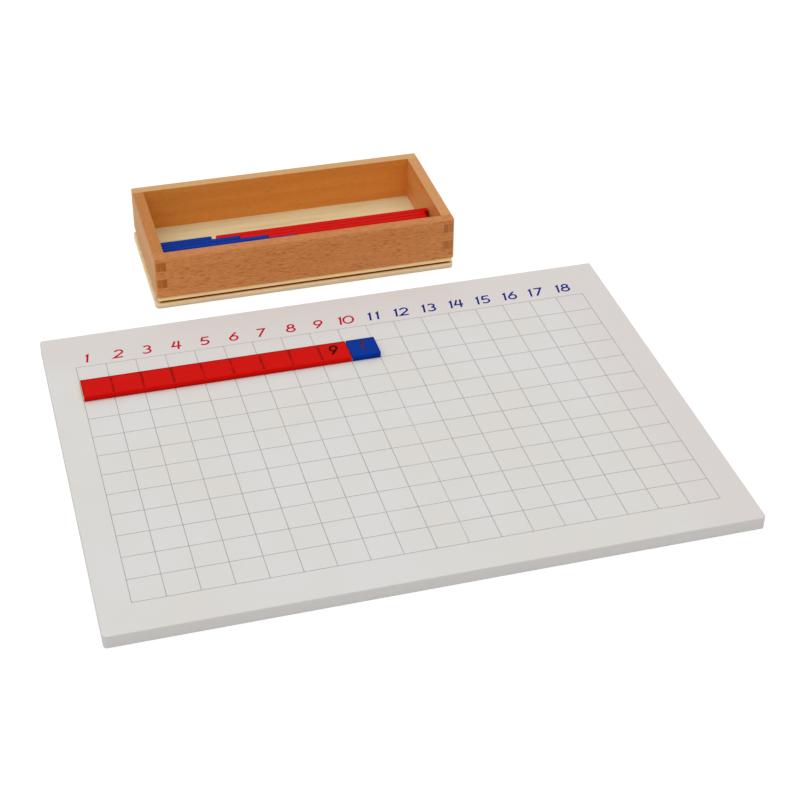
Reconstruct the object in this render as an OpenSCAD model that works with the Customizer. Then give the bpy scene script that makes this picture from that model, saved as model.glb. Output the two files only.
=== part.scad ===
// Addition strip board: a ruled and painted board, nine red and nine blue number strips,
// and the strips' wooden box, which stands on its upturned lid behind the board.
// The origin is the centre of the board's underside. +X runs along the numbers, +Y to the back.

/* [Board] */
// Side of one square cell, and so the length of one unit on a strip
cell = 25; // [20:0.5:30]
// Cells along the board
columns = 18; // [12:1:20]
// Cells from the back of the grid to its front
rows = 12; // [4:1:15]
// Plain margin left of the grid
left_margin = 25; // [10:0.5:40]
// Plain margin right of the grid
right_margin = 25; // [10:0.5:40]
// Plain margin behind the grid, where the numbers stand
back_margin = 48; // [25:0.5:60]
// Plain margin in front of the grid
front_margin = 30; // [10:0.5:50]
// Thickness of the board
board_thickness = 11.5; // [6:0.5:18]
// Radius of the board's corners, seen from above
board_corner = 4; // [2:0.5:15]
// Rounding of the board's edges
board_ease = 1.2; // [0.4:0.1:2.5]
// Width of a ruled line scored into the paint
line_width = 0.6; // [0.3:0.1:1.5]
// Depth of a ruled line
line_depth = 0.3; // [0.1:0.05:1]

/* [Strips] */
// Thickness of a strip
strip_thickness = 5.3; // [3:0.1:7]
// How much narrower a strip is than a cell
strip_narrow = 0.4; // [0.1:0.1:2]
// How much shorter a strip is than its whole cells
strip_short = 0.1; // [0.1:0.1:1.5]
// Radius of a strip's corners, seen from above
strip_corner = 1.2; // [0.6:0.1:3]
// Rounding of a strip's edges
strip_ease = 0.6; // [0.2:0.1:1.2]
// Width of the scored line between two units of a red strip
mark_width = 0.8; // [0.4:0.1:2]
// Depth of that scored line
mark_depth = 0.3; // [0.2:0.05:1]

/* [Sum laid out on the board] */
// Row of the grid that the two strips lie in, counted from the back
laid_row = 2; // [1:1:4]
// Red strip that lies on the board
laid_red = 9; // [1:1:9]
// Blue strip that lies on the board, against the end of the red one
laid_blue = 1; // [1:1:3]
// How far the laid strips sit in front of their row's back line
laid_drop = 1.2; // [0:0.1:3]
// Gap between the two laid strips
laid_gap = 0.4; // [0.1:0.1:2]

/* [Box] */
// Thickness of the four walls
wall_thickness = 10; // [6:0.2:16]
// Height of the rim over the strips that stand on edge in the box
rim_over_strips = 15.6; // [4:0.1:40]
// Thickness of the bottom panel, glued under the walls
bottom_thickness = 3.9; // [2:0.1:8]
// How far the bottom panel's edge lies inside the walls' outer faces
bottom_inset = 1; // [0.4:0.1:3]
// Rounding of the bottom panel's edges
bottom_ease = 0.4; // [0.1:0.1:0.8]
// Radius of the outer upright corners
box_corner = 2.6; // [1:0.2:5]
// Rounding of the walls' outer edges
box_ease = 0.8; // [0.3:0.1:2]
// From the rim down to the topmost finger of an end wall
finger_drop = 4.2; // [2:0.2:8]
// From the walls' lower edge up to the lowest finger of an end wall
finger_rise = 10.3; // [2:0.1:12]
// Fingers on each upright edge of an end wall
finger_count = 2; // [1:1:3]

/* [Strips in the box] */
// Free length in the box beyond the ten units of a lane
lane_play = 4.6; // [3:0.1:12]
// Gap between the left wall and the blue strips
blue_gap = 0.3; // [0.1:0.1:1]
// Gap between the blue and the red strip of a lane
end_gap = 0.3; // [0.1:0.1:2]
// Lane whose red strip has slid to the right wall, counted from the rearmost
slid_lane = 2; // [2:1:9]
// Gap between the right wall and that red strip
red_gap = 0.4; // [0.2:0.1:2]
// Gap between the front wall and the first lane
front_gap = 0.6; // [0.3:0.1:4]
// Gap between two lanes
lane_gap = 0.1; // [0.05:0.05:1]
// Free depth behind the lanes
free_depth = 62.8; // [20:0.1:120]

/* [Lid] */
// Thickness of the lid's outer panel
lid_thickness = 5; // [3:0.1:9]
// How far the lid's panel reaches past the box at each end
lid_past_ends = 0.7; // [0:0.1:3]
// How far the lid has slipped to the left under the box
lid_slip = 0.7; // [0:0.1:1]
// Radius of the lid's corners, seen from above
lid_corner = 5; // [2:0.5:12]
// Rounding of the lid's edges
lid_ease = 1; // [0.3:0.1:1.4]
// Thickness of the smaller board that locates the lid in the box
locator_thickness = 2; // [1.5:0.1:6]
// Gap round the locating board when the lid is on
locator_play = 1; // [0.3:0.1:3]
// Radius of the locating board's corners, seen from above
locator_corner = 3; // [1:0.5:8]
// Rounding of the locating board's edges
locator_ease = 0.4; // [0.1:0.1:0.6]

/* [Place of the box] */
// Gap between the board's back edge and the box
box_distance = 41.1; // [5:0.1:200]
// From the board's left edge to the box's left end
box_shift = 108.1; // [0:0.1:220]

/* [Hidden] */
$fn = 48;
// Strips of each colour, and the units in one full lane of the box
strip_count = 9;
lane_units = strip_count + 1;
// Overrun of a cutter past the face it cuts
over = 1;

board_length = left_margin + columns * cell + right_margin;
board_depth = back_margin + rows * cell + front_margin;
grid_left = left_margin - board_length / 2;
grid_back = board_depth / 2 - back_margin;

strip_width = cell - strip_narrow;
lane_pitch = strip_thickness + lane_gap;
inner_length = lane_units * cell + lane_play;
inner_depth = front_gap + strip_count * lane_pitch + free_depth;
box_length = inner_length + 2 * wall_thickness;
box_depth = inner_depth + 2 * wall_thickness;
wall_height = strip_width + rim_over_strips;
finger_height = (wall_height - finger_drop - finger_rise) / (2 * finger_count - 1);
box_left = box_shift - board_length / 2;
box_front_y = board_depth / 2 + box_distance;
locator_z = lid_thickness;
bottom_z = locator_z + locator_thickness;
wall_z = bottom_z + bottom_thickness;

// A rectangle from the origin with rounded corners
module rounded_rectangle(length, width, radius) {
    translate([radius, 0])
        square([length - 2 * radius, width]);
    translate([0, radius])
        square([length, width - 2 * radius]);
    for (x = [radius, length - radius], y = [radius, width - radius])
        translate([x, y])
            circle(r = radius);
}

// A board from the origin: corners rounded in plan, and every long edge rounded by ease
module eased_board(length, width, height, corner, ease) {
    intersection() {
        linear_extrude(height = height)
            rounded_rectangle(length, width, corner);
        translate([0, width, 0])
            rotate([90, 0, 0])
                linear_extrude(height = width)
                    rounded_rectangle(length, height, ease);
        rotate([90, 0, 90])
            linear_extrude(height = length)
                rounded_rectangle(width, height, ease);
    }
}

// The lattice of ruled lines, as a cutter that stands over the board's top face
module ruled_lines() {
    line_top = line_depth + over;
    translate([grid_left, grid_back, board_thickness - line_depth]) {
        for (column = [0 : columns])
            translate([column * cell - line_width / 2, -rows * cell - line_width / 2, 0])
                cube([line_width, rows * cell + line_width, line_top]);
        for (row = [0 : rows])
            translate([-line_width / 2, -row * cell - line_width / 2, 0])
                cube([columns * cell + line_width, line_width, line_top]);
    }
}

module board() {
    color("gainsboro")
        difference() {
            translate([-board_length / 2, -board_depth / 2, 0])
                eased_board(board_length, board_depth, board_thickness, board_corner, board_ease);
            ruled_lines();
        }
}

function strip_length(units) = units * cell - strip_short;

// A plain strip, lying from the origin with its number side up
module plain_strip(units) {
    eased_board(strip_length(units), strip_width, strip_thickness, strip_corner, strip_ease);
}

// One scored line across a strip, as a cutter with a V section
module unit_mark() {
    half_width = mark_width / 2 * (mark_depth + over) / mark_depth;
    translate([0, strip_width + over, strip_thickness])
        rotate([90, 0, 0])
            linear_extrude(height = strip_width + 2 * over)
                polygon([[0, -mark_depth], [half_width, over], [-half_width, over]]);
}

// A strip with a scored line between each two of its units
module marked_strip(units) {
    difference() {
        plain_strip(units);
        if (units > 1)
            for (unit = [1 : units - 1])
                translate([unit * cell - strip_short / 2, 0, 0])
                    unit_mark();
    }
}

// Puts a strip on the board, with its left end at the given column or a little past it
module on_board(column, past = 0) {
    strip_x = grid_left + column * cell + strip_short / 2 + past;
    strip_y = grid_back - (laid_row - 1) * cell - laid_drop - strip_width;
    translate([strip_x, strip_y, board_thickness])
        children();
}

// Place of a red strip's left end in its lane, against the blue one or slid to the right wall
function red_from_left(units) =
    lane_units - units == slid_lane
        ? inner_length - red_gap - strip_length(units)
        : blue_gap + strip_length(lane_units - units) + end_gap;

// Stands a strip on edge in the box, number side to the front. Lane 1 is the rearmost
module in_lane(lane, from_left) {
    lane_y = box_front_y + wall_thickness + front_gap + (lane_units - lane) * lane_pitch;
    translate([box_left + wall_thickness + from_left, lane_y, wall_z])
        rotate([90, 0, 0])
            children();
}

module red_strip(units) {
    color("firebrick")
        if (units == laid_red)
            on_board(0)
                marked_strip(units);
        else
            in_lane(lane_units - units, red_from_left(units))
                marked_strip(units);
}

module blue_strip(units) {
    color("royalblue")
        if (units == laid_blue)
            on_board(laid_red, laid_gap)
                plain_strip(units);
        else
            in_lane(units, blue_gap)
                plain_strip(units);
}

// Puts a part of the box in its place, at the given height
module in_box(height) {
    translate([box_left, box_front_y, height])
        children();
}

// The four walls in one, from the origin
module wall_ring() {
    difference() {
        eased_board(box_length, box_depth, wall_height, box_corner, box_ease);
        translate([wall_thickness, wall_thickness, -over])
            cube([inner_length, inner_depth, wall_height + 2 * over]);
    }
}

// The height bands in which the left end wall reaches out through the corners
module left_fingers() {
    for (finger = [0 : finger_count - 1])
        translate([-over, -over, wall_height - finger_drop - (2 * finger + 1) * finger_height])
            cube([wall_thickness + over, box_depth + 2 * over, finger_height]);
}

module right_fingers() {
    translate([box_length, 0, 0])
        mirror([1, 0, 0])
            left_fingers();
}

// All that belongs to the left end wall: its fingers and its run between the long walls
module left_end_space() {
    left_fingers();
    translate([-over, wall_thickness, -over])
        cube([wall_thickness + over, inner_depth, wall_height + 2 * over]);
}

module box_left_end() {
    color("burlywood")
        in_box(wall_z)
            intersection() {
                wall_ring();
                left_end_space();
            }
}

module box_right_end() {
    color("burlywood")
        in_box(wall_z)
            intersection() {
                wall_ring();
                translate([box_length, 0, 0])
                    mirror([1, 0, 0])
                        left_end_space();
            }
}

// A long wall from the origin, notched at both ends for the end walls' fingers
module long_wall(from_y) {
    difference() {
        intersection() {
            wall_ring();
            translate([-over, from_y, -over])
                cube([box_length + 2 * over, wall_thickness + over, wall_height + 2 * over]);
        }
        left_fingers();
        right_fingers();
    }
}

module box_front() {
    color("peru")
        in_box(wall_z)
            long_wall(-over);
}

module box_back() {
    color("peru")
        in_box(wall_z)
            long_wall(box_depth - wall_thickness);
}

module box_bottom() {
    color("wheat")
        in_box(bottom_z)
            translate([bottom_inset, bottom_inset, 0])
                eased_board(box_length - 2 * bottom_inset, box_depth - 2 * bottom_inset,
                            bottom_thickness, box_corner, bottom_ease);
}

module lid_panel() {
    color("wheat")
        in_box(0)
            translate([-lid_past_ends - lid_slip, 0, 0])
                eased_board(box_length + 2 * lid_past_ends, box_depth, lid_thickness, lid_corner, lid_ease);
}

module lid_locating_board() {
    color("tan")
        in_box(locator_z)
            translate([wall_thickness + locator_play - lid_slip, wall_thickness + locator_play, 0])
                eased_board(inner_length - 2 * locator_play, inner_depth - 2 * locator_play,
                            locator_thickness, locator_corner, locator_ease);
}

board();
red_strip(1);  // red_strip_1
red_strip(2);  // red_strip_2
red_strip(3);  // red_strip_3
red_strip(4);  // red_strip_4
red_strip(5);  // red_strip_5
red_strip(6);  // red_strip_6
red_strip(7);  // red_strip_7
red_strip(8);  // red_strip_8
red_strip(9);  // red_strip_9
blue_strip(1);  // blue_strip_1
blue_strip(2);  // blue_strip_2
blue_strip(3);  // blue_strip_3
blue_strip(4);  // blue_strip_4
blue_strip(5);  // blue_strip_5
blue_strip(6);  // blue_strip_6
blue_strip(7);  // blue_strip_7
blue_strip(8);  // blue_strip_8
blue_strip(9);  // blue_strip_9
box_front();
box_back();
box_left_end();
box_right_end();
box_bottom();
lid_panel();
lid_locating_board();
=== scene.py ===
import math

import bpy
from mathutils import Matrix, Quaternion, Vector


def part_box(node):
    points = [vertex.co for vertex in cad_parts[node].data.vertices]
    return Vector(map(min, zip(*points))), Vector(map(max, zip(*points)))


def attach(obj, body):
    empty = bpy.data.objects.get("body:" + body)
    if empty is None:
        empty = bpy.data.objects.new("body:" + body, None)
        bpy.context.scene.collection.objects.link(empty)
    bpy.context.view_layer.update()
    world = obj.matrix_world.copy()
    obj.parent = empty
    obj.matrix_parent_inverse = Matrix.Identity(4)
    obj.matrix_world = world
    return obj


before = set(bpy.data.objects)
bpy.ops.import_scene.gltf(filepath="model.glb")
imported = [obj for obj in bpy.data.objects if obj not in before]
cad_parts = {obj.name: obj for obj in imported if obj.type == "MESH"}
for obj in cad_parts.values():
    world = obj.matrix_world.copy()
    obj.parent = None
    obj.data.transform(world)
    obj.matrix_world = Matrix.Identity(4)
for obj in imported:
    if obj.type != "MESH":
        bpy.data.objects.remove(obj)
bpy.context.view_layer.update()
mm = 0.001


# Colours and shader nodes

def linearColour(hexColour):
    # An sRGB hex colour as the linear values that the shaders mix
    steps = [int(hexColour[i:i + 2], 16) / 255 for i in (1, 3, 5)]
    return [s / 12.92 if s <= 0.04045 else ((s + 0.055) / 1.055) ** 2.4 for s in steps] + [1]


def addNode(material, kind, inputs, output=0, **settings):
    # Adds a node, sets it, fills or links its sockets, and gives back one of its outputs
    node = material.node_tree.nodes.new("ShaderNode" + kind)
    for name, value in settings.items():
        setattr(node, name, value)
    for socket, value in inputs.items():
        if isinstance(value, bpy.types.NodeSocket):
            material.node_tree.links.new(value, node.inputs[socket])
        else:
            node.inputs[socket].default_value = value
    return node.outputs[output]


def newMaterial(name, fixed):
    # A surface whose plain values stand on the shader's own sockets
    material = bpy.data.materials.new(name)
    material.use_nodes = True
    shader = material.node_tree.nodes["Principled BSDF"]
    for socket, value in fixed.items():
        shader.inputs[socket].default_value = value
    return material


def finishMaterial(material, linked):
    # Links the worked out colour, roughness and bump to the shader
    shader = material.node_tree.nodes["Principled BSDF"]
    for socket, value in linked.items():
        material.node_tree.links.new(value, shader.inputs[socket])
    return material


def patternSpace(material, featureSize, shift=(0, 0, 0)):
    # Object coordinates counted in pattern features: their size is in mm along X, Y and Z
    place = addNode(material, "TexCoord", {}, "Object")
    return addNode(material, "Mapping", {
        "Vector": place, "Location": shift, "Scale": [1000 / size for size in featureSize]})


def mottling(material, featureSize, shift=(0, 0, 0), detail=3):
    # A soft random unevenness from 0 to 1, around a half, whose spots have the given size in mm
    space = patternSpace(material, featureSize, shift)
    return addNode(material, "TexNoise", {"Vector": space, "Scale": 1, "Detail": detail})


def along(fibre, length, width):
    # One measure along the fibre's axis and another across it
    return [length if axis == fibre else width for axis in range(3)]


def facingAway(material, axis):
    # How squarely the surface faces along an axis, either way: 1 on the faces that the axis pierces
    normal = addNode(material, "NewGeometry", {}, "Normal")
    squareness = addNode(material, "SeparateXYZ", {"Vector": normal}, axis)
    return addNode(material, "Math", {0: squareness}, operation="ABSOLUTE")


def layTone(material, colour, tone, value, start, end, share=1.0):
    # Lays a tone over a colour, more and more as a value passes from start to end
    reach = {"Value": value, "From Min": start, "From Max": end, "To Max": share}
    cover = addNode(material, "MapRange", reach, interpolation_type="SMOOTHSTEP")
    return addNode(material, "Mix", {0: cover, 6: colour, 7: tone}, 2, data_type="RGBA")


def shadeTone(material, colour, value, start, end, low, high):
    # Multiplies a colour by a brightness that goes from low to high as a value passes from start to end
    reach = {"Value": value, "From Min": start, "From Max": end, "To Min": low, "To Max": high}
    level = addNode(material, "MapRange", reach, interpolation_type="SMOOTHSTEP")
    return addNode(material, "Mix", {0: 1.0, 6: colour, 7: level}, 2, data_type="RGBA", blend_type="MULTIPLY")


mottled = {
    # From which value of a mottling to which it goes from its low spots to its high ones
    "even": (0.35, 0.65), "wide": (0.3, 0.7),
}
facing = {
    # How squarely a surface faces an axis where a finish starts to show, and where it is full
    "rim": (0.5, 0.8), "cutEnd": (0.6, 0.9), "plies": (0.75, 0.45), "covered": (0.8, 0.95),
    "boardEdge": (0.9, 0.5), "farEdgeShade": (0.2, 0.5), "stripSide": (0.95, 0.6), "stripEnd": (0.72, 0.9),
}
coatIor = 1.5      # of lacquer, enamel and printed paint alike
scoreSlack = 0.1   # mm, how far below the floor of a scored line its ink still reaches


def finishSurface(material, colour, gloss, relief, coat):
    # Gives the surface its colour, a sheen that varies with one pattern, and fine dents from another
    low, high = mottled["wide"]
    duller, glossier = coat["roughness"]
    roughness = addNode(material, "MapRange", {
        "Value": gloss, "From Min": low, "From Max": high, "To Min": duller, "To Max": glossier})
    bump = addNode(material, "Bump", {
        "Height": relief, "Strength": coat["dents"], "Distance": coat["dentDepth"] * mm})
    return finishMaterial(material, {"Base Color": colour, "Roughness": roughness, "Normal": bump})


# Wood

beechWalls = {
    # fibre: axis along the grain; light and deep: the faces' two tones; outside: the outer face's own tone,
    # where
    # the light and deep tones carry painted bounce light of the inside of the box; rim: the sawn top edge;
    # figure:
    # how strongly the grain shows, where 1 is as much as on the front; end: cut fibres; shine: of the
    # lacquer;
    # shift: moves the grain, so that no two walls share it
    "box_front": {"fibre": 0, "light": "#D3884A", "deep": "#CC8044", "rim": "#BD7537",
                  "fleck": "#AA5600", "fleckShare": 0.76, "figure": 1.0, "end": "#C08E54",
                  "shine": 0.3, "shift": (0.0, 0.0, 0.0)},
    "box_back": {"fibre": 0, "light": "#E4943E", "deep": "#DE8B38", "outside": "#D08A4E", "rim": "#CB9B62",
                 "fleck": "#A4662C", "fleckShare": 0.25, "figure": 0.35, "end": "#C08E54",
                 "shine": 0.3, "shift": (5.3, 2.1, 7.7)},
    "box_left_end": {"fibre": 1, "light": "#D09452", "deep": "#C68A4A", "rim": "#B9763A",
                     "fleck": "#9A6432", "fleckShare": 0.25, "figure": 0.6, "end": "#BC6B2E",
                     "shine": 0.1, "shift": (1.7, 8.4, 3.2)},
    "box_right_end": {"fibre": 1, "light": "#E09852", "deep": "#D68D47", "rim": "#C88C50",
                      "fleck": "#A4683C", "fleckShare": 0.3, "figure": 0.6, "end": "#B66F36",
                      "shine": 0.3, "shift": (9.1, 4.6, 2.8)},
}
beechGrain = {
    "bandLength": 160, "bandWidth": 9,       # mm, soft light and deep bands of the growth rings
    "fleckLength": 5.5, "fleckWidth": 0.9,   # mm, the short dark rays that mark beech
    "fleckSpan": (0.55, 0.68),               # values of their pattern where they start and are full
    "waveLength": 15, "waveWidth": 10,       # mm, how far apart the rays rise and fall
    "waveReach": 3.4,                        # mm, how far they do
    "pale": "#EAA468", "paleShare": 0.3,     # the lighter wood between the rays
    "paleSpan": (0.46, 0.32),                # the same values for the lighter wood
    "fibreLength": 35, "fibreWidth": 0.9,    # mm, fibres, drawn coarser than the real 0.1 mm to show
    "fibreContrast": 0.04,
    "ringLength": 60, "ringWidth": 2.2,      # mm, rings on the cut ends
    "ringShade": (0.78, 1.15),
    "roughness": (0.5, 0.38), "dents": 0.35, "dentDepth": 0.05,   # of the lacquer, depth in mm
}


def steamedBeech(name, look, low, high):
    # Steamed beech, planed and sealed with thin satin lacquer: a warm even tan that is broken up by
    # short wavy dark flecks along the grain, a little shine over it, and darker thirsty end grain
    material = newMaterial(name, {"Specular IOR Level": look["shine"], "IOR": coatIor})
    fibre, shift, figure, grain = look["fibre"], look["shift"], look["figure"], beechGrain
    bands = mottling(material, along(fibre, grain["bandLength"], grain["bandWidth"]), shift)
    fibres = mottling(material, along(fibre, grain["fibreLength"], grain["fibreWidth"]), shift, 4)
    rings = mottling(material, along(2, grain["ringLength"], grain["ringWidth"]), shift, 2)
    waveSpace = patternSpace(material, along(fibre, grain["waveLength"], grain["waveWidth"]), shift)
    wave = addNode(material, "TexNoise", {"Vector": waveSpace, "Scale": 1, "Detail": 1}, "Color")
    sway = along(fibre, 0, grain["waveReach"] / grain["fleckWidth"])
    fleckSpace = patternSpace(material, along(fibre, grain["fleckLength"], grain["fleckWidth"]), shift)
    fleckSpace = addNode(material, "VectorMath", {0: wave, 1: sway, 2: fleckSpace}, operation="MULTIPLY_ADD")
    flecks = addNode(material, "TexNoise", {"Vector": fleckSpace, "Scale": 1, "Detail": 2})
    light, deep, rim, fleck, end = [
        linearColour(look[tone]) for tone in ("light", "deep", "rim", "fleck", "end")]
    colour = layTone(material, light, deep, bands, *mottled["even"])
    # Where a wall has an outside tone, its inner face's brighter, more orange tones are painted bounce light
    if "outside" in look:
        place = addNode(material, "TexCoord", {}, "Object")
        depth = addNode(material, "SeparateXYZ", {"Vector": place}, 1)
        colour = layTone(material, colour, linearColour(look["outside"]), depth, low.y, high.y)
    colour = layTone(material, colour, rim, facingAway(material, 2), *facing["rim"])
    contrast = figure * grain["fibreContrast"]
    colour = shadeTone(material, colour, fibres, *mottled["wide"], 1 - contrast, 1 + contrast)
    colour = layTone(material, colour, fleck, flecks, *grain["fleckSpan"], look["fleckShare"])
    pale, paleShare = linearColour(grain["pale"]), figure * grain["paleShare"]
    colour = layTone(material, colour, pale, flecks, *grain["paleSpan"], paleShare)
    end = shadeTone(material, end, rings, *mottled["even"], *grain["ringShade"])
    colour = layTone(material, colour, end, facingAway(material, fibre), *facing["cutEnd"])
    return finishSurface(material, colour, fibres, fibres, grain)


plywoodPanels = {
    # light and deep: the two tones of the faces; plies: the veneers that show at the edge, from the lowest
    # up; shift: moves the grain, so that no two panels share it
    "box_bottom": {"light": "#E0D0A2", "deep": "#D7C493", "plies": ("#FFE2A4", "#FFDE9E", "#F6CC90"),
                   "shift": (2.0, 5.0, 1.0)},
    # The lid's lowest ply is greyer and darker than the others: painted contact shadow along the floor
    "lid_panel": {"light": "#F2D8AC", "deep": "#E8C999", "plies": ("#D0C3A4", "#E8CEA6", "#FBD6A4"),
                  "shift": (7.0, 1.0, 4.0)},
    # The locating board's dark tones are painted shade of the narrow recess between the box and the lid
    "lid_locating_board": {"light": "#A5602A", "deep": "#965622", "plies": ("#B44800", "#B44800"),
                           "shift": (3.0, 8.0, 6.0)},
}
veneer = {
    "streakLength": 120, "streakWidth": 7,   # mm, faint streaks of the rotary cut face
    "fibreLength": 22, "fibreWidth": 0.9,    # mm, fibres, drawn coarser than real so that they show
    "fibreShade": (0.93, 1.04),
    "glueLine": 0.2,                         # mm, over which one ply gives way to the next at the edge
    "coveredTone": "#B44800",                # painted shade of the lid where the box covers it
    "coveredInset": 1.6,                     # mm, from the covered outline to where the painted shade is full
    "shine": 0.2, "roughness": (0.55, 0.45), "dents": 0.3, "dentDepth": 0.04,   # of the sealer, depth in mm
}


def birchPlywood(name, look, low, high, coveredLow, coveredHigh):
    # Birch plywood, sanded and sealed: pale creamy faces with faint streaks, and plies of slightly
    # different tones at the edges
    material = newMaterial(name, {"Specular IOR Level": veneer["shine"], "IOR": coatIor})
    place = addNode(material, "TexCoord", {}, "Object")
    streaks = mottling(material, along(0, veneer["streakLength"], veneer["streakWidth"]), look["shift"])
    fibres = mottling(material, along(0, veneer["fibreLength"], veneer["fibreWidth"]), look["shift"])
    light, deep = linearColour(look["light"]), linearColour(look["deep"])
    colour = layTone(material, light, deep, streaks, *mottled["even"])
    height = addNode(material, "SeparateXYZ", {"Vector": place}, 2)
    cut, reach = linearColour(look["plies"][0]), veneer["glueLine"] / 2 * mm
    for i, ply in enumerate(look["plies"][1:], 1):
        joint = low.z + (high.z - low.z) * i / len(look["plies"])
        cut = layTone(material, cut, linearColour(ply), height, joint - reach, joint + reach)
    colour = layTone(material, colour, cut, facingAway(material, 2), *facing["plies"])
    colour = shadeTone(material, colour, fibres, *mottled["wide"], *veneer["fibreShade"])
    if coveredHigh.z > high.z:
        # A panel under the covering one is darker where it lies within that one's outline: painted shade
        # under the box
        middle, half = (coveredLow + coveredHigh) / 2, (coveredHigh - coveredLow) / 2
        covered = addNode(material, "Mapping", {
            "Vector": place, "Scale": (1 / half.x, 1 / half.y, 0),
            "Location": (-middle.x / half.x, -middle.y / half.y, 0)})
        covered = addNode(material, "VectorMath", {0: covered}, operation="ABSOLUTE")
        x, y = [addNode(material, "SeparateXYZ", {"Vector": covered}, axis) for axis in (0, 1)]
        outwards = addNode(material, "Math", {0: x, 1: y}, operation="MAXIMUM")
        bareWoodAndShade = layTone(material, colour, linearColour(veneer["coveredTone"]), outwards,
                       1.0, 1 - veneer["coveredInset"] * mm / half.y)
        colour = layTone(material, colour, bareWoodAndShade, facingAway(material, 2), *facing["covered"])
    return finishSurface(material, colour, fibres, fibres, veneer)


# Paint

ruledBoard = {
    "cell": 25.0, "columns": 18, "rows": 12,
    "gridLeft": -225.0, "gridBack": 141.0,   # mm, where the ruled squares start
    "lineWidth": 0.6, "lineDepth": 0.3,      # mm, as scored into the board
    "lineEase": 0.08,                        # mm, softness of the ink's two edges, each way
    "cool": "#D8D7D5", "warm": "#D8D5D0", "edge": "#CECBC8",
    "margin": "#D7D1CE",                     # of the white behind and to the right of the ruled squares: pinker, and a touch darker as painted shade
    "marginRight": (-50, 0),                 # mm, past the last upright, where that white starts and is full
    "marginBack": (25, -20),                 # mm, the same, in front of the back line
    "upright": "#D1D1D5", "level": "#D6D9DB", "tens": "#E6DEE3",   # what the ink leaves of the white
    "backLine": "#CDD0D4", "backLineWorn": "#EBECEE",              # it is faint over the red numerals
    "redLineAfter": 10,
    "inkShade": (0.92, 1.06), "inkSize": 18,                       # how it varies, and over how many mm
    "cloudSize": 70, "stippleSize": 1.6,                           # mm, of the lacquer's unevenness
    "shine": 0.25, "roughness": (0.5, 0.42), "dents": 0.15, "dentDepth": 0.04,   # of the lacquer, depth in mm
}


def whiteBoardLacquer(name, look, top):
    # White lacquer rolled on a medium density board: even and satin, faintly uneven in tone, with a
    # fine stipple, and thin grey ruled lines whose ink is not the same strength all along
    material = newMaterial(name, {"Specular IOR Level": look["shine"], "IOR": coatIor})
    clouds = mottling(material, [look["cloudSize"]] * 3)
    stipple = mottling(material, [look["stippleSize"]] * 3, detail=2)
    inkFlow = mottling(material, [look["inkSize"]] * 3, detail=2)
    cool, warm, margin = linearColour(look["cool"]), linearColour(look["warm"]), linearColour(look["margin"])
    colour = layTone(material, cool, warm, clouds, *mottled["even"])
    place = addNode(material, "Mapping", {
        "Vector": addNode(material, "TexCoord", {}, "Object"), "Scale": (1000, 1000, 1000),
        "Location": (-look["gridLeft"], -look["gridBack"], -top / mm)})
    x, y, depth = [addNode(material, "SeparateXYZ", {"Vector": place}, axis) for axis in range(3)]
    back = addNode(material, "Math", {0: y, 1: -1.0}, operation="MULTIPLY")
    cell, half, ease = look["cell"], look["lineWidth"] / 2, look["lineEase"]
    width, length = look["columns"] * cell, look["rows"] * cell
    # The margins take a pinker tone that is a touch darker: the darkening is painted shade of light falling
    # off
    for distance, start, (inner, outer) in ((x, width, look["marginRight"]), (back, 0, look["marginBack"])):
        colour = layTone(material, colour, margin, distance, start + inner, start + outer)
    floor = -look["lineDepth"] - scoreSlack
    beyond = addNode(material, "Math", {0: depth, 1: floor}, operation="LESS_THAN")
    for distance, size in ((x, width), (back, length)):
        fromMiddle = addNode(material, "Math", {0: distance, 1: size / 2}, operation="SUBTRACT")
        fromMiddle = addNode(material, "Math", {0: fromMiddle}, operation="ABSOLUTE")
        outside = addNode(material, "Math", {0: fromMiddle, 1: size / 2 + half}, operation="GREATER_THAN")
        beyond = addNode(material, "Math", {0: beyond, 1: outside}, operation="MAXIMUM")
    tensAt = look["redLineAfter"] * cell
    backInk = layTone(material, linearColour(look["backLineWorn"]), linearColour(look["backLine"]),
                      x, tensAt - cell, tensAt + cell)
    lines = (
        # Across which distance, the usual ink, the one line that has another ink, and that ink
        (back, linearColour(look["level"]), 0, backInk),
        (x, linearColour(look["upright"]), tensAt, linearColour(look["tens"])),
    )
    for distance, ink, otherAt, otherInk in lines:
        toOther = addNode(material, "Math", {0: distance, 1: otherAt}, operation="SUBTRACT")
        toOther = addNode(material, "Math", {0: toOther}, operation="ABSOLUTE")
        tint = layTone(material, otherInk, ink, toOther, cell / 2 - half, cell / 2 + half)
        tint = shadeTone(material, tint, inkFlow, *mottled["even"], *look["inkShade"])
        inked = addNode(material, "Mix", {0: 1.0, 6: colour, 7: tint}, 2,
                        data_type="RGBA", blend_type="MULTIPLY")
        nearest = addNode(material, "Math", {0: distance, 1: cell / 2}, operation="PINGPONG")
        away = addNode(material, "Math", {0: beyond, 1: cell, 2: nearest}, operation="MULTIPLY_ADD")
        colour = layTone(material, colour, inked, away, half + ease, half - ease)
    colour = layTone(material, colour, linearColour(look["edge"]), facingAway(material, 2),
                     *facing["boardEdge"])
    return finishSurface(material, colour, stipple, stipple, look)


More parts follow.
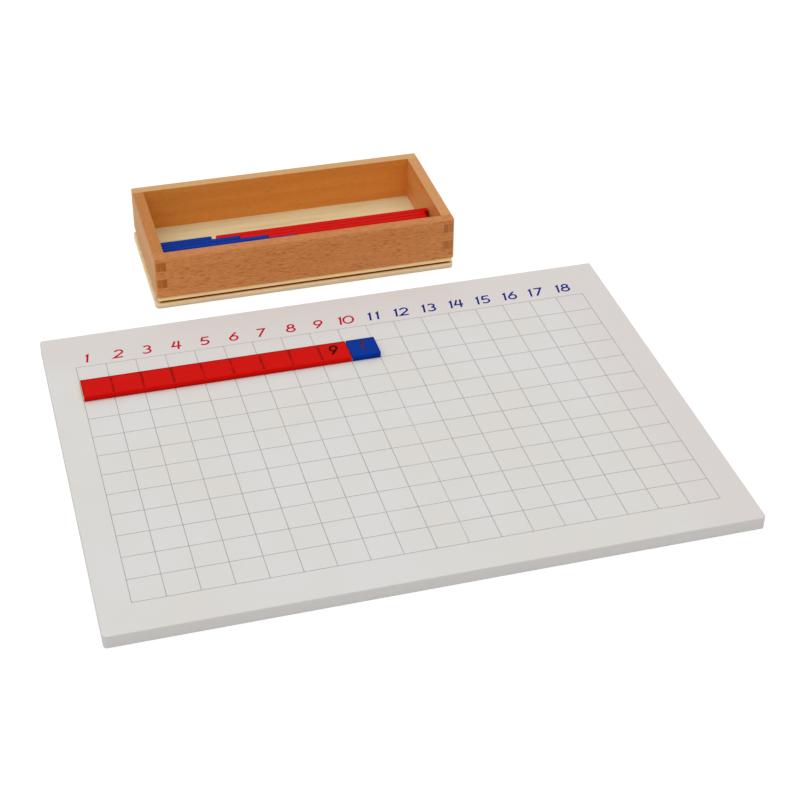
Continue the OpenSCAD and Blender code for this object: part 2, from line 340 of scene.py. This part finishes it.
stripPaints = {
    # full and thin: where the brush left more or less; edge: painted shade along the far top corner; wood:
    # the bare
    # cut ends, which on the strips in the box are darker as painted shade of the narrow gaps between them;
    # overrun:
    # how far down the cut ends the paint ran, in mm
    "red": {"full": "#D00E06", "thin": "#CA0B04", "edge": "#98060C", "mark": "#980A05",
            "wood": "#F6C698", "shadedWood": "#8A5226", "overrun": 0.0},
    "blue": {"full": "#003498", "thin": "#00308E", "edge": "#00164E", "mark": None,
             "wood": "#F6C698", "shadedWood": "#8A5226", "overrun": 3.0},
}
stripMark = {
    "width": 0.8, "depth": 0.3, "pitch": 25.0,                 # mm, as scored into the red strips
    "short": 0.1,                                              # mm that a strip lacks of its whole units
    "clear": 1.0,                                              # mm, bare of ink next to the strip's edges
    "bleed": 1.3,                                              # mm, how far the ink spread out of the score
    "thinned": 0.75,                                           # share of ink missing where it is thinnest
    "thinSpan": (0.4, 0.75), "thinSize": (14, 9, 9),           # values and mm of the pattern that thins it
}
stripCoat = {
    "strokeLength": 90, "strokeWidth": 1.4,      # mm, of the brush
    "fibreLength": 30, "fibreWidth": 0.8,        # mm, of the wood under the paint
    "fibreShade": (0.75, 1.1),                   # on the bare ends
    "farEdgeShadeLying": 2.4, "farEdgeShadeStanding": 1.1,   # mm, how far in from the far top corner the painted shade reaches
    "paintedSideLight": (0.85, 1.2),                    # of a lying strip's sides, at the foot and at the top: painted contact shade and painted light
    "overrunEase": 0.3,                          # mm, softness of the paint's end on a cut end, each way
    "patternShift": 3.7,                         # pattern features from a strip to the next longer one
    "shine": 0.03, "roughness": (0.42, 0.32), "dents": 0.12, "dentDepth": 0.03,   # of the enamel, depth in mm
}


def scoredMarks(material, colour, mark, strip, shift):
    # The scored lines between a strip's units, unevenly darkened with ink that bled out of them
    low, high = strip["low"] / mm, strip["high"] / mm
    # The strip's own measures: along it, across its number side, and up from its back
    turn, corner = (0, (-low.x, -low.y, -low.z)) if strip["lies"] else (-90, (-low.x, -low.z, high.y))
    place = addNode(material, "Mapping", {
        "Vector": addNode(material, "TexCoord", {}, "Object"), "Location": corner,
        "Rotation": (math.radians(turn), 0, 0), "Scale": (1000, 1000, 1000)})
    run, across, up = [addNode(material, "SeparateXYZ", {"Vector": place}, axis) for axis in range(3)]
    run = addNode(material, "Math", {0: run, 1: stripMark["short"] / 2}, operation="ADD")
    nearest = addNode(material, "Math", {0: run, 1: stripMark["pitch"] / 2}, operation="PINGPONG")
    size = high - low
    thickness, width = sorted((size.y, size.z))
    fromMiddle = addNode(material, "Math", {0: across, 1: width / 2}, operation="SUBTRACT")
    fromMiddle = addNode(material, "Math", {0: fromMiddle}, operation="ABSOLUTE")
    clearFrom, markFoot = width / 2 - stripMark["clear"], thickness - stripMark["depth"] - scoreSlack
    atEdge = addNode(material, "Math", {0: fromMiddle, 1: clearFrom}, operation="GREATER_THAN")
    below = addNode(material, "Math", {0: up, 1: markFoot}, operation="LESS_THAN")
    beyond = addNode(material, "Math", {0: atEdge, 1: below}, operation="MAXIMUM")
    away = addNode(material, "Math", {0: beyond, 1: stripMark["pitch"], 2: nearest}, operation="MULTIPLY_ADD")
    inkFlow = mottling(material, stripMark["thinSize"], shift, 1)
    ink = layTone(material, linearColour(mark), colour, inkFlow, *stripMark["thinSpan"], stripMark["thinned"])
    half = stripMark["width"] / 2
    return layTone(material, colour, ink, away, half + stripMark["bleed"], half)


def stripPaint(name, look, strip):
    # Semi-gloss enamel brushed along a beech strip: deep and even with faint strokes along the length,
    # dark scored lines between the units, and bare wood where the strip was cut off
    material = newMaterial(name, {"Specular IOR Level": stripCoat["shine"], "IOR": coatIor})
    shift = (strip["units"] * stripCoat["patternShift"], 0, 0)
    strokes = mottling(material, along(0, stripCoat["strokeLength"], stripCoat["strokeWidth"]), shift)
    fibres = mottling(material, along(0, stripCoat["fibreLength"], stripCoat["fibreWidth"]), shift)
    full, thin = linearColour(look["full"]), linearColour(look["thin"])
    colour = layTone(material, full, thin, strokes, *mottled["even"])
    if look["mark"]:
        colour = scoredMarks(material, colour, look["mark"], strip, shift)
    place = addNode(material, "TexCoord", {}, "Object")
    y, z = [addNode(material, "SeparateXYZ", {"Vector": place}, axis) for axis in (1, 2)]
    foot, top, farEdge = strip["low"].z, strip["high"].z, strip["high"].y
    upwards = facingAway(material, 2)
    # Painted shade along the far top edge, where a strip's edge meets the gap to its neighbour
    reach = stripCoat["farEdgeShadeLying" if strip["lies"] else "farEdgeShadeStanding"] * mm
    farEdgeShade = layTone(material, colour, linearColour(look["edge"]), y, farEdge - reach, farEdge - reach / 3)
    colour = layTone(material, colour, farEdgeShade, upwards, *facing["farEdgeShade"])
    # A lying strip's sides are darkened at the foot and lightened at the top: painted contact shadow and
    # painted light
    if strip["lies"]:
        litSide = shadeTone(material, colour, z, foot, top, *stripCoat["paintedSideLight"])
        colour = layTone(material, colour, litSide, upwards, *facing["stripSide"])
    # The cut ends of the strips in the box take a darker wood: painted shade of the narrow gaps between them
    wood = linearColour(look["wood" if strip["lies"] else "shadedWood"])
    wood = shadeTone(material, wood, fibres, *mottled["wide"], *stripCoat["fibreShade"])
    bareWoodAndShade = layTone(material, colour, wood, facingAway(material, 0), *facing["stripEnd"])
    paintFoot, ease = top - look["overrun"] * mm, stripCoat["overrunEase"] * mm
    colour = layTone(material, bareWoodAndShade, colour, z, paintFoot - ease, paintFoot + ease)
    return finishSurface(material, colour, strokes, fibres, stripCoat)


numeralPaints = {
    "crimson": {"full": "#C60A26", "thin": "#CE1A34"},
    "navy": {"full": "#052288", "thin": "#0C2A94"},
    "black": {"full": "#260800", "thin": "#341008"},
    "oxblood": {"full": "#5A2A3C", "thin": "#522A40"},
}
numeralFilm = {
    "meshSize": 1.2, "thinSpan": (0.4, 0.7),   # mm and values of the pattern that thins the paint
    "shine": 0.02, "roughness": (0.45, 0.55),
}


def numeralPaint(name, look):
    # Screen printed paint: a thin flat film, a touch lighter where the mesh left less of it
    material = newMaterial(name, {"Specular IOR Level": numeralFilm["shine"], "IOR": coatIor})
    film = mottling(material, [numeralFilm["meshSize"]] * 3, detail=2)
    full, thin = linearColour(look["full"]), linearColour(look["thin"])
    colour = layTone(material, full, thin, film, *numeralFilm["thinSpan"])
    low, high = mottled["wide"]
    glossier, duller = numeralFilm["roughness"]
    roughness = addNode(material, "MapRange", {
        "Value": film, "From Min": low, "From Max": high, "To Min": glossier, "To Max": duller})
    return finishMaterial(material, {"Base Color": colour, "Roughness": roughness})


def dressNode(name, material):
    # The CAD node keeps its form and takes the better finish
    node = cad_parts[name]
    for slot in node.material_slots:
        slot.material = material


for name, look in beechWalls.items():
    dressNode(name, steamedBeech("steamedBeech_" + name, look, *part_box(name)))
for name, look in plywoodPanels.items():
    dressNode(name, birchPlywood("birchPlywood_" + name, look, *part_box(name), *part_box("box_bottom")))
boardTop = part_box("board")[1].z
dressNode("board", whiteBoardLacquer("whiteBoardLacquer", ruledBoard, boardTop))

strips = {}
for colourName, look in stripPaints.items():
    for units in range(1, 10):
        name = f"{colourName}_strip_{units}"
        low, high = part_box(name)
        lies = high.z - low.z < high.y - low.y   # flat on the board, and else on edge in the box
        strips[name] = {"units": units, "lies": lies, "low": low, "high": high}
        dressNode(name, stripPaint("stripPaint_" + name, look, strips[name]))
print("finishes:", len(bpy.data.materials), "materials")


# Numerals

numeralShapes = {
    # height; stroke: its width; pitch: from tens to units, all in mm; widen: how much wider than in the
    # list of pen strokes
    "board": {"height": 12.4, "stroke": 1.74, "pitch": 6.9, "widen": 1.18},
    "strip": {"height": 13.2, "stroke": 1.9, "pitch": 6.9, "widen": 0.98},
}
numeralPlace = {
    "slant": 0.155,                   # how far a numeral leans to the right, in heights
    "film": 0.08,                     # mm, thickness of the paint
    "backGap": 5.5, "rowRise": 1.2,   # mm, from the grid's back line up to the first numeral's foot, and how
                                      # much more it is at the last
    "leftOfMiddle": 1.4,              # mm, from the middle of a column
    "fromEnd": 12.4, "foot": 7.0,     # mm, a strip's numeral from the strip's end and from its near side
}
arcPoints = 40    # on a full turn of a numeral's arc
touching = 1e-6   # how close two points are that count as one


def arc(x, y, rx, ry, start, end):
    # Points of an oval arc, in numeral heights, from one angle to another in degrees
    count = max(2, round(abs(end - start) / 360 * arcPoints))
    angles = [math.radians(start + (end - start) * i / count) for i in range(count + 1)]
    return [(x + rx * math.cos(a), y + ry * math.sin(a)) for a in angles]


# Pen strokes of each numeral in numeral heights, X from its middle and Y from its foot
penStrokes = {
    "0": [arc(0, 0.5, 0.30, 0.43, 90, 450)],
    "1": [[(-0.11, 0.76), (0.0, 0.88), (0.0, 0.0)]],
    "2": [arc(0.0, 0.69, 0.225, 0.24, 165, -38) + [(-0.235, 0.07), (0.27, 0.07)]],
    "3": [arc(-0.02, 0.725, 0.195, 0.205, 150, -90), arc(-0.02, 0.295, 0.235, 0.225, 90, -150)],
    "4": [[(-0.10, 0.97), (-0.24, 0.36), (0.27, 0.36)], [(0.12, 0.97), (0.12, 0.0)]],
    "5": [[(0.24, 0.93), (-0.13, 0.93), (-0.18, 0.55)] + arc(0.0, 0.32, 0.235, 0.25, 120, -145)],
    "6": [arc(0, 0.33, 0.225, 0.26, 90, 450),
          [(0.13, 0.98), (-0.02, 0.78)] + arc(0, 0.33, 0.225, 0.26, 150, 175)],
    "7": [[(-0.22, 0.93), (0.23, 0.93), (-0.10, 0.0)]],
    "8": [arc(0, 0.735, 0.175, 0.195, 90, 450), arc(0, 0.30, 0.235, 0.23, 90, 450)],
}
penStrokes["9"] = [[(-x, 1 - y) for x, y in stroke] for stroke in penStrokes["6"]]


def deselectAll():
    for item in bpy.context.selected_objects:
        item.select_set(False)


def makeActive(piece):
    deselectAll()
    piece.select_set(True)
    bpy.context.view_layer.objects.active = piece


def nibOutline(shape):
    # The flat section of a stroke: as wide as the brush and as thick as the film of paint
    deselectAll()
    bpy.ops.curve.primitive_bezier_curve_add(location=(0, 0, 0))
    nib = bpy.context.object
    nib.name = "nib"
    nib.data.dimensions = "2D"
    nib.data.splines.clear()
    wide, thick = shape["stroke"] / 2 * mm, numeralPlace["film"] / 2 * mm
    section = nib.data.splines.new("POLY")
    section.points.add(3)
    corners = ((-wide, -thick), (wide, -thick), (wide, thick), (-wide, thick))
    for point, corner in zip(section.points, corners):
        point.co = (*corner, 0, 1)
    section.use_cyclic_u = True
    return nib


def paintStroke(name, points, nib, shape):
    # One stroke of the brush, swept along its leaning line and made a mesh
    deselectAll()
    bpy.ops.curve.primitive_bezier_curve_add(location=(0, 0, 0))
    stroke = bpy.context.object
    stroke.name = name
    curve = stroke.data
    curve.dimensions = "2D"
    curve.splines.clear()
    closed = math.dist(points[0], points[-1]) < touching
    line = curve.splines.new("POLY")
    shown = points[:-1] if closed else points
    line.points.add(len(shown) - 1)
    height = shape["height"] * mm
    for point, (x, y) in zip(line.points, shown):
        x = x * shape["widen"] + (y - 0.5) * numeralPlace["slant"]
        point.co = (x * height, y * height, 0, 1)
    line.use_cyclic_u = closed
    curve.bevel_mode, curve.bevel_object = "OBJECT", nib
    curve.use_fill_caps = not closed
    makeActive(stroke)
    bpy.ops.object.convert(target="MESH")
    closeFilm()
    return bpy.context.object


def closeFilm():
    # Merges the seams of the active mesh and turns its faces outwards
    bpy.ops.object.mode_set(mode="EDIT")
    bpy.ops.mesh.select_all(action="SELECT")
    bpy.ops.mesh.remove_doubles(threshold=touching)
    bpy.ops.mesh.normals_make_consistent(inside=False)
    bpy.ops.object.mode_set(mode="OBJECT")


def paintDigit(digit, nib, shape):
    # A digit's strokes, joined into one film with no faces left inside it
    strokes = [paintStroke(f"digit{digit}", points, nib, shape) for points in penStrokes[digit]]
    film = strokes[0]
    for stroke in strokes[1:]:
        union = film.modifiers.new("union", "BOOLEAN")
        union.operation, union.solver, union.object = "UNION", "EXACT", stroke
        makeActive(film)
        bpy.ops.object.modifier_apply(modifier=union.name)
        bpy.data.objects.remove(stroke)
    makeActive(film)
    closeFilm()
    return film


digits = {}
for kind, shape in numeralShapes.items():
    nib = nibOutline(shape)
    for digit in penStrokes:
        digits[kind, digit] = paintDigit(digit, nib, shape)
    bpy.data.objects.remove(nib)


def paintNumber(name, number, kind, place, material, upright=False):
    # A number made of copies of one kind of digits, its foot's middle at place, on a top or on a front
    text = str(number)
    pieces = []
    for i, digit in enumerate(text):
        copy = digits[kind, digit].copy()
        copy.data = digits[kind, digit].data.copy()
        bpy.context.collection.objects.link(copy)
        aside = (i - (len(text) - 1) / 2) * numeralShapes[kind]["pitch"] * mm
        copy.data.transform(Matrix.Translation((aside, 0, 0)))
        pieces.append(copy)
    makeActive(pieces[0])
    for piece in pieces:
        piece.select_set(True)
    if len(pieces) > 1:
        bpy.ops.object.join()
    piece = bpy.context.object
    piece.name = piece.data.name = name
    middle = sum((Vector(corner) for corner in piece.bound_box), Vector()) / 8
    piece.data.transform(Matrix.Translation((-middle.x, 0, numeralPlace["film"] / 2 * mm)))
    if upright:
        piece.data.transform(Matrix.Rotation(math.radians(90), 4, "X"))
    piece.data.transform(Matrix.Translation(place))
    piece.data.materials.clear()
    piece.data.materials.append(material)
    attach(piece, "root")
    return piece


numeralInk = {name: numeralPaint("numeralPaint_" + name, look) for name, look in numeralPaints.items()}
for column in range(1, ruledBoard["columns"] + 1):
    x = (ruledBoard["gridLeft"] + (column - 0.5) * ruledBoard["cell"] - numeralPlace["leftOfMiddle"]) * mm
    rise = numeralPlace["rowRise"] * (column - 1) / (ruledBoard["columns"] - 1)
    y = (ruledBoard["gridBack"] + numeralPlace["backGap"] + rise) * mm
    ink, slot = ("crimson", "red_paint") if column <= ruledBoard["redLineAfter"] else ("navy", "blue_paint")
    paintNumber(f"board_numeral_{column}", column, "board", (x, y, boardTop), numeralInk[ink])
for name, strip in strips.items():
    x, foot = strip["high"].x - numeralPlace["fromEnd"] * mm, numeralPlace["foot"] * mm
    ink = numeralInk["black" if name.startswith("red") else "oxblood"]
    if strip["lies"]:
        place = (x, strip["low"].y + foot, strip["high"].z)
    else:
        place = (x, strip["low"].y, strip["low"].z + foot)
    paintNumber(name + "_numeral", strip["units"], "strip", place, ink, upright=not strip["lies"])
for maker in digits.values():
    bpy.data.objects.remove(maker)


# Studio

studio = {
    "floorSize": 30.0, "floorColour": "#F4F4F4", "seenColour": "#A8A8A8", "seenLift": 0.72,
    "skyLevel": 0.55, "sunLevel": 1.45, "sunWidth": 90, "sunFrom": (-0.2, -0.12, 1.0),
}


def whiteFloor():
    # Plain white floor: the camera sees a greyer one with a light of its own, so it stays white
    # with a faint shadow, while the object gets the white floor's full light from below
    deselectAll()
    bpy.ops.mesh.primitive_grid_add(
        x_subdivisions=2, y_subdivisions=2, size=studio["floorSize"], location=(0, 0, 0))
    floor = bpy.context.object
    floor.name = "studio_floor"
    material = newMaterial("studioFloor", {
        "Roughness": 1.0, "Specular IOR Level": 0.0, "Emission Color": linearColour("#FFFFFF")})
    seen = addNode(material, "LightPath", {}, "Is Camera Ray")
    lift = addNode(material, "Math", {0: seen, 1: studio["seenLift"]}, operation="MULTIPLY")
    plain, grey = linearColour(studio["floorColour"]), linearColour(studio["seenColour"])
    colour = layTone(material, plain, grey, seen, 0, 1)
    finishMaterial(material, {"Base Color": colour, "Emission Strength": lift})
    floor.data.materials.append(material)


def softLight():
    # An even sky and one very wide soft lamp high up, a little to the left and in front
    world = bpy.data.worlds.new("studioSky")
    bpy.context.scene.world = world
    world.use_nodes = True
    background = world.node_tree.nodes["Background"]
    background.inputs["Color"].default_value = linearColour("#FFFFFF")
    seen = addNode(world, "LightPath", {}, "Is Camera Ray")
    for ray in ("Is Glossy Ray", "Is Transmission Ray"):
        seenBy = addNode(world, "LightPath", {}, ray)
        seen = addNode(world, "Math", {0: seen, 1: seenBy}, operation="MAXIMUM")
    level = addNode(world, "MapRange", {"Value": seen, "To Min": studio["skyLevel"], "To Max": 1.0})
    world.node_tree.links.new(level, background.inputs["Strength"])
    lamp = bpy.data.lights.new("wide_soft_lamp", "SUN")
    lamp.energy, lamp.angle = studio["sunLevel"], math.radians(studio["sunWidth"])
    sun = bpy.data.objects.new("wide_soft_lamp", lamp)
    sun.rotation_euler = Vector(studio["sunFrom"]).to_track_quat("Z", "Y").to_euler()
    bpy.context.collection.objects.link(sun)


cameraView = {
    "place": (-0.30562, -1.11306, 0.86894), "aim": (0.02845, 0.04207, 0.0),   # m
    "lens": 80.62, "sensor": 36.0, "roll": 0.663,                            # mm and degrees
}


def photoCamera():
    # The camera stands and looks as the photographer's did
    lens = bpy.data.cameras.new("photo_camera")
    lens.lens, lens.sensor_width = cameraView["lens"], cameraView["sensor"]
    camera = bpy.data.objects.new("photo_camera", lens)
    place, aim = Vector(cameraView["place"]), Vector(cameraView["aim"])
    turn = (aim - place).to_track_quat("-Z", "Y") @ Quaternion((0, 0, 1), math.radians(cameraView["roll"]))
    camera.matrix_world = Matrix.Translation(place) @ turn.to_matrix().to_4x4()
    bpy.context.collection.objects.link(camera)
    bpy.context.scene.camera = camera


whiteFloor()
softLight()
photoCamera()
bpy.context.scene.view_settings.view_transform = "Standard"
print("studio: floor, sky, lamp and camera")
